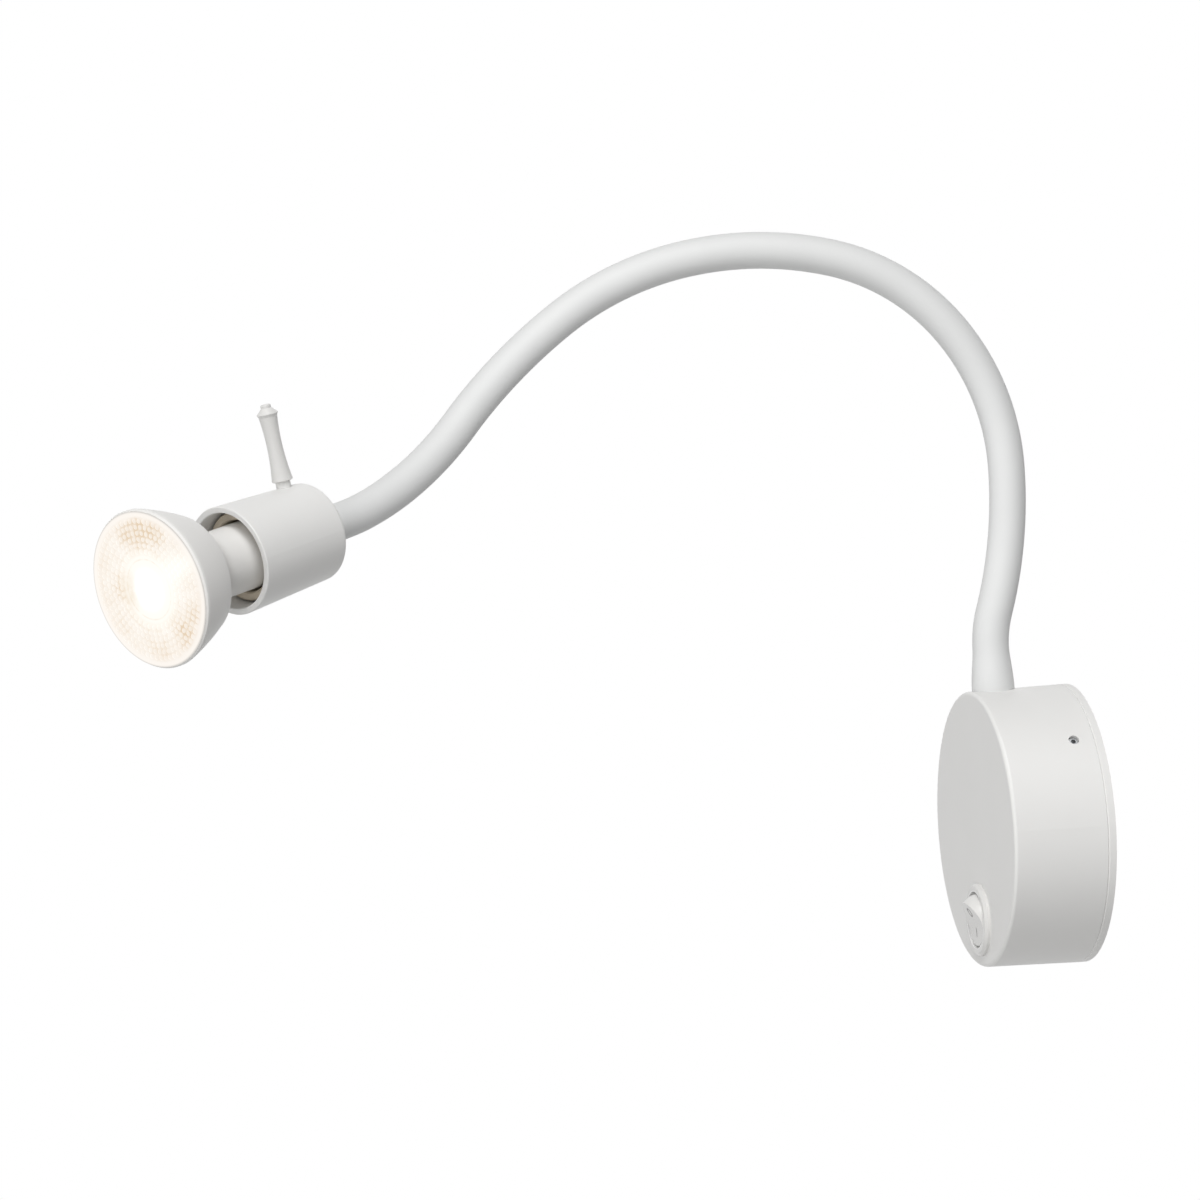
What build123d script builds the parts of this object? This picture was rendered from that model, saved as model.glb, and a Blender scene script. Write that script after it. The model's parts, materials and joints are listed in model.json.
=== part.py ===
from build123d import *
from math import atan2, cos, degrees, hypot, radians, sin, sqrt, tan
import os

os.makedirs("parts", exist_ok=True)

# Wall reading lamp: a round rosette with a rocker switch, a sleeved gooseneck and a twist-lock spot lamp.
# Millimetres. The wall is the plane y = 0, the lamp stands out towards -Y, Z is up.
# The origin is the centre of the wall plate's back face.

# Fits
FIT = 0.05
RUNNING_FIT = 0.1
PANEL_FIT = 0.15

# Rosette
PLATE_D = 90.0
PLATE_T = 2.5
COVER_INSET = 0.6
ROSETTE_DEPTH = 33.5
COVER_WALL = 1.8
COVER_EDGE_R = 1.2
SEAM_BEVEL = 0.3
SPIGOT_H = 4.0
SPIGOT_WALL = 1.5
WALL_SLOT_SPACING = 60.0
WALL_SLOT_L = 9.0
WALL_SLOT_W = 4.5
TAB_W = 10.0
TAB_T = 4.0
TAB_H = 11.5
TAB_GAP = 1.1
COVER_SCREW_ANGLE = 38.0
COVER_SCREW_D = 3.0
COVER_SCREW_L = 7.0
COVER_SCREW_HOLE_D = 3.4
COVER_SCREW_HEIGHT = 9.3
COVER_SCREW_KEY = 1.5

# Cable entry and wiring space
ENTRY_D = 11.0
BUSH_BORE_D = 8.0
BUSH_FLANGE_D = 15.0
BUSH_FLANGE_T = 1.5
BLOCK_W = 22.0
BLOCK_H = 16.0
BLOCK_D = 13.0
BLOCK_GAP = 2.0
POLE_PITCH = 12.0
POLE_HEIGHT = 6.5
CLAMP_D = 5.2
CLAMP_L = 12.0
CLAMP_BORE_D = 2.8
CLAMP_SCREW_D = 3.0
CLAMP_SCREW_HEAD_D = 3.6
CLAMP_SCREW_PITCH = 6.0
BLOCK_SCREW_D = 3.0
BLOCK_SCREW_HEAD_D = 5.4
EARTH_X = 22.0
EARTH_Z = -16.0
EARTH_SCREW_D = 4.0
EARTH_HEAD_D = 7.2
EARTH_HEAD_T = 2.6
WIRE_D = 1.9
WIRE_BEND_R = 2.2
WIRE_SIDE_X = 16.0
WIRE_LOOP = 4.0
WIRE_DROP = 7.5
WIRE_STEP = 8.5
WIRE_GAP = 3.5
WIRE_RUN = 2.4
SCREW_SLOT_W = 0.7

# Rocker switch
SWITCH_MARGIN = 15.3
BEZEL_D = 23.4
BEZEL_T = 1.8
BEZEL_EDGE = 0.9
SWITCH_BODY_D = 20.0
SWITCH_BODY_DEPTH = 15.5
ROCKER_WELL_D = 18.4
ROCKER_WELL_DEPTH = 8.0
ROCKER_R = 8.85
ROCKER_TILT = 15.0
ROCKER_PIVOT_DEPTH = 1.5
ROCKER_SLOPE = 15.0
ROCKER_VALLEY = 3.1
ROCKER_DISH_R = 14.0
ROCKER_UNDERSIDE = 3.5
ROCKER_PIN_D = 2.4
ROCKER_PIN_SPAN = 19.4
BLADE_W = 4.8
BLADE_T = 0.8
BLADE_L = 6.3
BLADE_PITCH = 9.0

# Gooseneck: straight ends and tangent arcs, each arc with its bend outwards and its bend sideways in degrees
ARM_SETBACK = 8.9
ARM_FOOT = 14.0
ARM_FOOT_ARC = 12.0
ARM_STEP = 47.5
ARM_TIP_ARC = 10.0
ARM_TIP = 14.0
FOOT_BEND = (-18.0, 0.0)
ARM_BENDS = [(19.0, 0.0), (36.5, 0.0), (38.0, -2.0), (24.0, -2.0), (26.0, 5.0), (12.5, 12.0), (-22.0, 14.0)]
TIP_BEND = (-6.5, 5.0)
SLEEVE_D = 11.8
SLEEVE_WALL = 1.0
SLEEVE_FOOT_D = 13.8
SLEEVE_TIP_D = 12.2
SLEEVE_STEP = 1.3
SLEEVE_END_GAP = 0.2
CORE_D = 9.4
CORE_BORE_D = 4.8
BALL_D = 8.8
BALL_SHOULDER = 1.8
SOCKET_RIM = 1.5
LEAD_D = 4.6
LEAD_TAIL = 3.5
LEAD_GAP = 1.4

# End fittings
STUD_D = 10.0
FOOT_FLANGE_D = 11.4
TIP_FLANGE_D = 10.7
FLANGE_L = 8.0
NUT_AF = 13.0
NUT_T = 3.7
STUD_PROUD = 0.8
WASHER_D = 13.0
WASHER_T = 1.0
PAD_W = 16.0
PAD_T = 5.5
SPOTFACE_D = 14.2

# Lamp head
CUP_BACK_D = 31.2
CUP_FRONT_D = 34.4
CUP_L = 36.3
CUP_WALL = 2.0
CUP_FLOOR = 2.2
CUP_BACK_R = 1.5
CUP_RIM_R = 0.4
STRAP_T = 1.0
STRAP_W = 8.0
STRAP_GAP = 0.48
STRAP_FOOT_L = 5.5
STRAP_EYE_W = 3.2
HOLDER_ROOM = 8.0
HOLDER_D = 25.0
HOLDER_L = 13.0
HOLDER_SHOULDER = 2.5
SKIRT_D = 28.2
SKIRT_BORE_D = 23.0
SKIRT_L = 7.6
SKIRT_EDGE = 0.5
HOLDER_SCREW_D = 3.0
HOLDER_SCREW_HEAD_D = 4.2
HOLDER_SCREW_HEAD_T = 1.8
HOLDER_SCREW_L = 5.0
HOLDER_SCREW_GAP = 0.2

# Handle
GRIP_BACK = 7.3
GRIP_STUD_D = 3.0
GRIP_COLLAR_D = 4.7
GRIP_COLLAR_T = 2.3
GRIP_FOOT_D = 6.7
GRIP_WAIST_D = 4.9
GRIP_TOP_D = 5.9
GRIP_LIP_D = 6.8
GRIP_LIP_T = 0.9
GRIP_NUB_D = 3.3
GRIP_L = 24.4
GRIP_BORE_L = 8.5
GRIP_SINK = 0.2
GRIP_SHOULDER = 2.9

# Twist-lock lamp
LAMP_D = 50.0
LAMP_L = 46.7
LAMP_NECK_D = 21.3
LAMP_RIM_W = 1.4
LAMP_RIM_L = 1.4
LAMP_RIM_EDGE = 0.6
LAMP_BOWL_L = 16.0
LAMP_BOWL_BACK_D = 38.4
LAMP_BOWL_CROWN_H = 0.35
LAMP_CORNER_D = 34.0
LAMP_CORNER_L = 1.2
LAMP_THROAT_D = 26.0
LAMP_THROAT_L = 5.0
LAMP_FLARE_L = 5.5
LENS_LEDGE = 0.9
REFLECTOR_LIP_L = 1.0
NECK_EDGE = 1.5
LENS_T = 1.8
LENS_SINK = 0.6
BOARD_D = 28.0
BOARD_T = 1.2
BOARD_DEPTH = 15.0
REFLECTOR_R = 19.4
REFLECTOR_DEPTH = 9.0
CHIP_D = 10.0
CHIP_T = 0.8
PIN_PITCH = 10.0
PIN_D = 3.2
PIN_HEAD_D = 5.0
PIN_HEAD_T = 2.8
PIN_L = 7.3
PIN_GAP = 0.4
TWIST = 30.0
LEDGE_T = 4.0
CONTACT_T = 0.8

PLATE_R = PLATE_D / 2
COVER_FRONT_D = PLATE_D - 2 * COVER_INSET
COVER_FRONT_R = COVER_FRONT_D / 2
COVER_DRAFT = COVER_INSET / (ROSETTE_DEPTH - PLATE_T)
COVER_BORE_R = PLATE_R - COVER_WALL
SPIGOT_R = COVER_BORE_R - COVER_DRAFT * SPIGOT_H - PANEL_FIT
TAB_R = COVER_BORE_R - COVER_DRAFT * TAB_H - TAB_GAP - TAB_T / 2
ARM_Y = ARM_SETBACK - ROSETTE_DEPTH
COVER_R_AT_ARM = PLATE_R - COVER_DRAFT * (-ARM_Y - PLATE_T)
FOOT_Z = COVER_R_AT_ARM - (SPOTFACE_D / 2) ** 2 / (2 * COVER_R_AT_ARM)
PAD_SEAT_Z = FOOT_Z - PAD_T
SWITCH_Z = SWITCH_MARGIN - COVER_FRONT_R
SCREW_ANGLES = [COVER_SCREW_ANGLE, COVER_SCREW_ANGLE + 180]
BLOCK_Z = BUSH_FLANGE_D / 2 + BLOCK_GAP + BLOCK_H / 2
BLOCK_FRONT = PLATE_T + BLOCK_D
POLE_OUT = PLATE_T + POLE_HEIGHT
WIRE_TOP_Z = BLOCK_Z + BLOCK_H / 2 + WIRE_LOOP
LEAD_END_Z = PAD_SEAT_Z - WASHER_T - NUT_T - STUD_PROUD - LEAD_TAIL
BLADE_OUT = ROSETTE_DEPTH - SWITCH_BODY_DEPTH - BLADE_L
BLADE_WIRE_OUT = BLADE_OUT - WIRE_RUN
WIRE_LOW_Z = min(LEAD_END_Z, WIRE_TOP_Z) - WIRE_DROP
WIRE_FRONT = BLOCK_FRONT + WIRE_GAP
SLEEVE_R = SLEEVE_D / 2
SLEEVE_BORE = SLEEVE_R - SLEEVE_WALL
CORE_R = CORE_D / 2
CORE_BORE = CORE_BORE_D / 2
BALL_R = BALL_D / 2
SOCKET_R = BALL_R + RUNNING_FIT
LEAD_R = LEAD_D / 2
ARM_COUNT = len(ARM_BENDS)
STRAP_REACH = CUP_BACK_D / 2 - CUP_WALL - STRAP_GAP
STRAP_SPAN = 2 * sqrt(STRAP_REACH ** 2 - (STRAP_W / 2) ** 2)
HOLDER_SCREW_PITCH = STRAP_SPAN - 2 * (STRAP_T + HOLDER_SCREW_GAP) - HOLDER_SCREW_HEAD_D


def radial_plane(angle, height):
    """Plane whose normal points out from the rosette's axis."""
    direction = (cos(radians(angle)), 0, sin(radians(angle)))
    return Plane(origin=(0, -height, 0), x_dir=(0, 1, 0), z_dir=direction)


def arc_frame(frame, length, bend):
    """Frame at the end of an arc that leaves along the frame's z axis."""
    turn = hypot(bend[0], bend[1])
    if turn == 0:
        return frame * Pos(0, 0, length)
    side = degrees(atan2(bend[1], bend[0]))
    radius = length / radians(turn)
    drop = radius * (1 - cos(radians(turn)))
    run = radius * sin(radians(turn))
    return frame * Rot(0, 0, side) * Pos(0, -drop, run) * Rot(turn, 0, 0) * Rot(0, 0, -side)


def share(bend, part):
    """The same curve over part of its length."""
    return (bend[0] * part, bend[1] * part)


def arc_tube(frame, length, bend, outer, inner):
    """Round tube or rod along an arc."""
    turn = hypot(bend[0], bend[1])
    side = degrees(atan2(bend[1], bend[0]))
    start = Plane(frame * Rot(0, 0, side))
    with BuildPart() as tube:
        with BuildSketch(start):
            Circle(outer)
            if inner > 0:
                Circle(inner, mode=Mode.SUBTRACT)
        if turn == 0:
            extrude(amount=length)
        else:
            centre = start.origin - start.y_dir * (length / radians(turn))
            revolve(axis=Axis(centre, start.x_dir), revolution_arc=turn)
    return tube.part


def save(part, name):
    """Names a piece and writes it."""
    part.label = name
    export_step(part, "parts/" + name + ".step")


# Frames along the arm: foot, joints one to eight, tip
foot = Location((0, ARM_Y, FOOT_Z))
foot_top = arc_frame(foot, ARM_FOOT, (0, 0))
joints = [arc_frame(foot_top, ARM_FOOT_ARC, FOOT_BEND)]
for bend in ARM_BENDS:
    joints.append(arc_frame(joints[-1], ARM_STEP, bend))
tip_start = arc_frame(joints[-1], ARM_TIP_ARC, TIP_BEND)
tip = arc_frame(tip_start, ARM_TIP, (0, 0))

# Head frame: z along the cup towards the lens, y upwards
head_z = Plane(tip).z_dir
head_x = Vector(0, 0, 1).cross(head_z).normalized()
head = Plane(origin=tip.position, x_dir=head_x, z_dir=head_z)
head_section = Plane(origin=tip.position, x_dir=head_x, z_dir=-head.y_dir)
head_axis = Axis(head.origin, head.z_dir)
foot_section = Plane(origin=(0, ARM_Y, 0), x_dir=(1, 0, 0), z_dir=(0, -1, 0))
foot_axis = Axis((0, ARM_Y, 0), (0, 0, 1))

# Wall plate with locating rim, screw tabs and wall slots
with BuildPart() as wall_plate:
    with BuildSketch(Plane.XZ):
        Circle(PLATE_R)
    extrude(amount=PLATE_T)
    chamfer(wall_plate.faces().sort_by(Axis.Y)[0].edges(), SEAM_BEVEL)
    with BuildSketch(Plane.XZ.offset(PLATE_T)):
        Circle(SPIGOT_R)
        Circle(SPIGOT_R - SPIGOT_WALL, mode=Mode.SUBTRACT)
    extrude(amount=SPIGOT_H)
    with BuildSketch(Plane.XZ.offset(PLATE_T)):
        with PolarLocations(TAB_R, 2, start_angle=COVER_SCREW_ANGLE):
            Rectangle(TAB_T, TAB_W)
    extrude(amount=TAB_H)
    with BuildSketch(Plane.XZ):
        Circle(ENTRY_D / 2)
        with GridLocations(WALL_SLOT_SPACING, 0, 2, 1):
            SlotOverall(WALL_SLOT_L, WALL_SLOT_W)
        with Locations((0, BLOCK_Z)):
            Circle(BLOCK_SCREW_D / 2 + FIT)
        with Locations((EARTH_X, EARTH_Z)):
            Circle(EARTH_SCREW_D / 2 + FIT)
    extrude(amount=PLATE_T, mode=Mode.SUBTRACT)
    for angle in SCREW_ANGLES:
        with BuildSketch(radial_plane(angle, COVER_SCREW_HEIGHT).offset(TAB_R - TAB_T)):
            Circle(COVER_SCREW_D / 2 + FIT)
        extrude(amount=2 * TAB_T, mode=Mode.SUBTRACT)
save(wall_plate.part, "wall_plate")

# Rosette cover
cover_depth = ROSETTE_DEPTH - COVER_WALL
with BuildPart() as rosette_cover:
    with BuildSketch(Plane.XY):
        with BuildLine():
            Polyline(
                (0, -ROSETTE_DEPTH),
                (COVER_FRONT_R, -ROSETTE_DEPTH),
                (PLATE_R, -PLATE_T),
                (PLATE_R - COVER_WALL, -PLATE_T),
                (COVER_FRONT_R - COVER_WALL, -cover_depth),
                (0, -cover_depth),
                close=True,
            )
        make_face()
    revolve(axis=Axis.Y)
    front_edge = rosette_cover.faces().sort_by(Axis.Y)[0].edges()
    fillet(front_edge, COVER_EDGE_R)
    back_edges = rosette_cover.edges().filter_by(GeomType.CIRCLE).group_by(Axis.Y)[-1]
    chamfer(back_edges.sort_by(SortBy.RADIUS)[-1], SEAM_BEVEL)
    with BuildSketch(Plane.XY.offset(PAD_SEAT_Z)):
        with Locations((0, ARM_Y)):
            Rectangle(PAD_W, PAD_W)
    extrude(amount=COVER_R_AT_ARM - COVER_WALL / 2 - PAD_SEAT_Z, mode=Mode.ADD)
    with BuildSketch(Plane.XY.offset(FOOT_Z)):
        with Locations((0, ARM_Y)):
            Circle(SPOTFACE_D / 2)
    extrude(amount=5, mode=Mode.SUBTRACT)
    with BuildSketch(Plane.XY.offset(PAD_SEAT_Z)):
        with Locations((0, ARM_Y)):
            Circle(STUD_D / 2 + PANEL_FIT)
    extrude(amount=10, mode=Mode.SUBTRACT)
    with BuildSketch(Plane.XZ.offset(cover_depth)):
        with Locations((0, SWITCH_Z)):
            Circle(SWITCH_BODY_D / 2 + PANEL_FIT)
    extrude(amount=COVER_WALL, mode=Mode.SUBTRACT)
    for angle in SCREW_ANGLES:
        with BuildSketch(radial_plane(angle, COVER_SCREW_HEIGHT).offset(SPIGOT_R - SPIGOT_WALL)):
            Circle(COVER_SCREW_HOLE_D / 2)
        extrude(amount=6, mode=Mode.SUBTRACT)
save(rosette_cover.part, "rosette_cover")

# Two socket set screws that hold the cover on the plate's tabs
screw_out = PLATE_R - COVER_DRAFT * COVER_SCREW_HEIGHT - COVER_WALL / 2
with BuildPart() as cover_screws:
    for angle in SCREW_ANGLES:
        outer_end = radial_plane(angle, COVER_SCREW_HEIGHT).offset(screw_out)
        with BuildSketch(outer_end):
            Circle(COVER_SCREW_D / 2)
        extrude(amount=-COVER_SCREW_L)
        with BuildSketch(outer_end):
            RegularPolygon(COVER_SCREW_KEY / 2, 6, major_radius=False)
        extrude(amount=-COVER_SCREW_L / 3, mode=Mode.SUBTRACT)
save(cover_screws.part, "cover_screws")

# Cable entry bush
with BuildPart() as entry_bush:
    with BuildSketch(Plane.XZ):
        Circle(ENTRY_D / 2 - FIT)
    extrude(amount=PLATE_T)
    with BuildSketch(Plane.XZ.offset(PLATE_T)):
        Circle(BUSH_FLANGE_D / 2)
    extrude(amount=BUSH_FLANGE_T)
    with BuildSketch(Plane.XZ):
        Circle(BUSH_BORE_D / 2)
    extrude(amount=PLATE_T + BUSH_FLANGE_T, mode=Mode.SUBTRACT)
save(entry_bush.part, "entry_bush")

# Two-pole terminal block, its brass clamps and screws
pole_places = [(-POLE_PITCH / 2, BLOCK_Z), (POLE_PITCH / 2, BLOCK_Z)]
clamp_top = POLE_OUT + CLAMP_D / 2
with BuildPart() as terminal_block:
    with BuildSketch(Plane.XZ.offset(PLATE_T)):
        with Locations((0, BLOCK_Z)):
            RectangleRounded(BLOCK_W, BLOCK_H, 1.0)
    extrude(amount=BLOCK_D)
    with BuildSketch(Plane.XY.offset(BLOCK_Z - BLOCK_H / 2)):
        with Locations((-POLE_PITCH / 2, -POLE_OUT), (POLE_PITCH / 2, -POLE_OUT)):
            Circle(CLAMP_D / 2 + FIT)
    extrude(amount=BLOCK_H, mode=Mode.SUBTRACT)
    with BuildSketch(Plane.XZ.offset(POLE_OUT)):
        with Locations(*pole_places):
            with GridLocations(0, CLAMP_SCREW_PITCH, 1, 2):
                Circle(CLAMP_SCREW_HEAD_D / 2 + PANEL_FIT)
    extrude(amount=BLOCK_FRONT - POLE_OUT, mode=Mode.SUBTRACT)
    with BuildSketch(Plane.XZ.offset(PLATE_T)):
        with Locations((0, BLOCK_Z)):
            Circle(BLOCK_SCREW_D / 2 + PANEL_FIT)
    extrude(amount=BLOCK_D, mode=Mode.SUBTRACT)
    with BuildSketch(Plane.XZ.offset(PLATE_T + BLOCK_D / 2)):
        with Locations((0, BLOCK_Z)):
            Circle(BLOCK_SCREW_HEAD_D / 2 + PANEL_FIT)
    extrude(amount=BLOCK_D / 2, mode=Mode.SUBTRACT)
save(terminal_block.part, "terminal_block")

with BuildPart() as terminal_clamps:
    with BuildSketch(Plane.XY.offset(BLOCK_Z - CLAMP_L / 2)):
        with Locations((-POLE_PITCH / 2, -POLE_OUT), (POLE_PITCH / 2, -POLE_OUT)):
            Circle(CLAMP_D / 2)
            Circle(CLAMP_BORE_D / 2, mode=Mode.SUBTRACT)
    extrude(amount=CLAMP_L)
    with BuildSketch(Plane.XZ.offset(POLE_OUT)):
        with Locations(*pole_places):
            with GridLocations(0, CLAMP_SCREW_PITCH, 1, 2):
                Circle(CLAMP_SCREW_D / 2 + FIT)
    extrude(amount=CLAMP_D, mode=Mode.SUBTRACT)
save(terminal_clamps.part, "terminal_clamps")

wire_top = POLE_OUT + WIRE_D / 2 + FIT
clamp_head = clamp_top + 0.4
with BuildPart() as terminal_screws:
    with BuildSketch(Plane.XZ.offset(wire_top)):
        with Locations(*pole_places):
            with GridLocations(0, CLAMP_SCREW_PITCH, 1, 2):
                Circle(CLAMP_SCREW_D / 2)
    extrude(amount=clamp_head - wire_top)
    with BuildSketch(Plane.XZ.offset(clamp_head)):
        with Locations(*pole_places):
            with GridLocations(0, CLAMP_SCREW_PITCH, 1, 2):
                Circle(CLAMP_SCREW_HEAD_D / 2)
    extrude(amount=2.0)
    with BuildSketch(Plane.XZ.offset(clamp_head + 1.2)):
        with Locations(*pole_places):
            with GridLocations(0, CLAMP_SCREW_PITCH, 1, 2):
                Rectangle(CLAMP_SCREW_HEAD_D, SCREW_SLOT_W)
    extrude(amount=1.0, mode=Mode.SUBTRACT)
save(terminal_screws.part, "terminal_screws")

with BuildPart() as block_screw:
    with BuildSketch(Plane.XZ.offset(PLATE_T / 5)):
        with Locations((0, BLOCK_Z)):
            Circle(BLOCK_SCREW_D / 2)
    extrude(amount=PLATE_T * 4 / 5 + BLOCK_D / 2)
    with BuildSketch(Plane.XZ.offset(PLATE_T + BLOCK_D / 2)):
        with Locations((0, BLOCK_Z)):
            Circle(BLOCK_SCREW_HEAD_D / 2)
    extrude(amount=2.0)
    with BuildSketch(Plane.XZ.offset(PLATE_T + BLOCK_D / 2 + 1.0)):
        with Locations((0, BLOCK_Z)):
            Rectangle(BLOCK_SCREW_HEAD_D, SCREW_SLOT_W)
    extrude(amount=1.0, mode=Mode.SUBTRACT)
save(block_screw.part, "block_screw")

with BuildPart() as earth_screw:
    with BuildSketch(Plane.XZ.offset(PLATE_T / 5)):
        with Locations((EARTH_X, EARTH_Z)):
            Circle(EARTH_SCREW_D / 2)
    extrude(amount=PLATE_T * 4 / 5)
    with BuildSketch(Plane.XZ.offset(PLATE_T)):
        with Locations((EARTH_X, EARTH_Z)):
            Circle(EARTH_HEAD_D / 2)
    extrude(amount=EARTH_HEAD_T)
    with BuildSketch(Plane.XZ.offset(PLATE_T + EARTH_HEAD_T / 2)):
        with Locations((EARTH_X, EARTH_Z)):
            Rectangle(EARTH_HEAD_D, SCREW_SLOT_W)
    extrude(amount=EARTH_HEAD_T / 2, mode=Mode.SUBTRACT)
save(earth_screw.part, "earth_screw")

# Internal wires between terminal block, switch and arm lead
core_x = LEAD_R / 2
blade_x = BLADE_PITCH / 2
pole_x = POLE_PITCH / 2
wire_routes = {
    "live_wire": [
        (-pole_x, -POLE_OUT, BLOCK_Z),
        (-pole_x, -POLE_OUT, WIRE_TOP_Z),
        (-WIRE_SIDE_X, -POLE_OUT, WIRE_TOP_Z),
        (-WIRE_SIDE_X, -BLADE_WIRE_OUT, SWITCH_Z),
        (-blade_x, -BLADE_WIRE_OUT, SWITCH_Z),
        (-blade_x, -BLADE_OUT, SWITCH_Z),
    ],
    "switched_wire": [
        (blade_x, -BLADE_OUT, SWITCH_Z),
        (blade_x, -BLADE_WIRE_OUT, SWITCH_Z),
        (WIRE_SIDE_X, -BLADE_WIRE_OUT, SWITCH_Z),
        (WIRE_SIDE_X, -BLADE_WIRE_OUT, WIRE_LOW_Z - WIRE_STEP),
        (WIRE_SIDE_X, ARM_Y, WIRE_LOW_Z - WIRE_STEP),
        (-core_x, ARM_Y, WIRE_LOW_Z - WIRE_STEP),
        (-core_x, ARM_Y, LEAD_END_Z),
    ],
    "neutral_wire": [
        (core_x, ARM_Y, LEAD_END_Z),
        (core_x, ARM_Y, WIRE_LOW_Z),
        (pole_x, -WIRE_FRONT, WIRE_LOW_Z),
        (pole_x, -WIRE_FRONT, WIRE_TOP_Z),
        (pole_x, -POLE_OUT, WIRE_TOP_Z),
        (pole_x, -POLE_OUT, BLOCK_Z),
    ],
}
for wire_name, route in wire_routes.items():
    with BuildPart() as wire:
        with BuildLine() as wire_line:
            FilletPolyline(*route, radius=WIRE_BEND_R)
        with BuildSketch(Plane(origin=wire_line.line @ 0, z_dir=wire_line.line % 0)):
            Circle(WIRE_D / 2)
        sweep(path=wire_line.line)
    save(wire.part, wire_name)

# Switch housing with bezel, blades and rocker
with BuildPart() as switch_housing:
    with BuildSketch(Plane.XZ.offset(ROSETTE_DEPTH)):
        with Locations((0, SWITCH_Z)):
            Circle(BEZEL_D / 2)
    extrude(amount=BEZEL_T)
    bezel_edge = switch_housing.faces().sort_by(Axis.Y)[0].edges()
    chamfer(bezel_edge, BEZEL_EDGE)
    with BuildSketch(Plane.XZ.offset(ROSETTE_DEPTH)):
        with Locations((0, SWITCH_Z)):
            Circle(SWITCH_BODY_D / 2)
    extrude(amount=-SWITCH_BODY_DEPTH)
    with BuildSketch(Plane.XZ.offset(ROSETTE_DEPTH + BEZEL_T)):
        with Locations((0, SWITCH_Z)):
            Circle(ROCKER_WELL_D / 2)
    extrude(amount=-BEZEL_T - ROCKER_WELL_DEPTH, mode=Mode.SUBTRACT)
    with BuildSketch(Plane.YZ.offset(-SWITCH_BODY_D / 2)):
        with Locations((ROCKER_PIVOT_DEPTH - ROSETTE_DEPTH, SWITCH_Z)):
            Circle(ROCKER_PIN_D / 2 + FIT)
    extrude(amount=SWITCH_BODY_D, mode=Mode.SUBTRACT)
save(switch_housing.part, "switch_housing")

with BuildPart() as switch_blades:
    with BuildSketch(Plane.XZ.offset(BLADE_OUT)):
        with Locations((0, SWITCH_Z)):
            with GridLocations(BLADE_PITCH, 0, 2, 1):
                Rectangle(BLADE_T, BLADE_W)
    extrude(amount=BLADE_L)
save(switch_blades.part, "switch_blades")

# The rocker rests with its lower half pressed in; its face is dished and its rim is a ball about the pivot
tilt = radians(ROCKER_TILT)
rocker_reach = 2 * ROCKER_R
rocker_rise = ROCKER_VALLEY + rocker_reach * tan(radians(ROCKER_SLOPE))
rocker_out = Vector(0, -cos(tilt), -sin(tilt))
pivot = (0, ROCKER_PIVOT_DEPTH - ROSETTE_DEPTH, SWITCH_Z)
rocker_face = Plane(origin=pivot, x_dir=(1, 0, 0), z_dir=rocker_out)
rocker_side = Plane(origin=pivot, x_dir=rocker_face.y_dir, z_dir=(1, 0, 0))
with BuildPart() as switch_rocker:
    with BuildSketch(rocker_side):
        with BuildLine():
            FilletPolyline(
                (rocker_reach, rocker_rise),
                (0, ROCKER_VALLEY),
                (-rocker_reach, rocker_rise),
                radius=ROCKER_DISH_R,
            )
            Polyline(
                (-rocker_reach, rocker_rise),
                (-rocker_reach, -ROCKER_UNDERSIDE),
                (rocker_reach, -ROCKER_UNDERSIDE),
                (rocker_reach, rocker_rise),
            )
        make_face()
    extrude(amount=rocker_reach, both=True)
    with Locations(rocker_face.location):
        Sphere(ROCKER_R, mode=Mode.INTERSECT)
    with BuildSketch(rocker_side):
        Circle(ROCKER_PIN_D / 2)
    extrude(amount=ROCKER_PIN_SPAN / 2, both=True)
save(switch_rocker.part, "switch_rocker")

# Arm foot: threaded ferrule, washer and nut inside the rosette
socket_z = FOOT_Z + FLANGE_L / 3
stud_low = PAD_SEAT_Z - WASHER_T - NUT_T - STUD_PROUD
with BuildPart() as foot_ferrule:
    with BuildSketch(foot_section):
        with BuildLine():
            Polyline(
                (CORE_BORE, stud_low),
                (STUD_D / 2, stud_low),
                (STUD_D / 2, FOOT_Z),
                (FOOT_FLANGE_D / 2, FOOT_Z),
                (FOOT_FLANGE_D / 2, FOOT_Z + FLANGE_L),
                (CORE_R + FIT, FOOT_Z + FLANGE_L),
                (CORE_R + FIT, socket_z),
                (CORE_BORE, socket_z),
                close=True,
            )
        make_face()
    revolve(axis=foot_axis)
save(foot_ferrule.part, "foot_ferrule")

with BuildPart() as foot_washer:
    with BuildSketch(Plane.XY.offset(PAD_SEAT_Z - WASHER_T)):
        with Locations((0, ARM_Y)):
            Circle(WASHER_D / 2)
            Circle(STUD_D / 2 + PANEL_FIT, mode=Mode.SUBTRACT)
    extrude(amount=WASHER_T)
save(foot_washer.part, "foot_washer")

with BuildPart() as foot_nut:
    with BuildSketch(Plane.XY.offset(PAD_SEAT_Z - WASHER_T - NUT_T)):
        with Locations((0, ARM_Y)):
            RegularPolygon(NUT_AF / 2, 6, major_radius=False)
            Circle(STUD_D / 2 + FIT, mode=Mode.SUBTRACT)
    extrude(amount=NUT_T)
save(foot_nut.part, "foot_nut")

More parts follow.
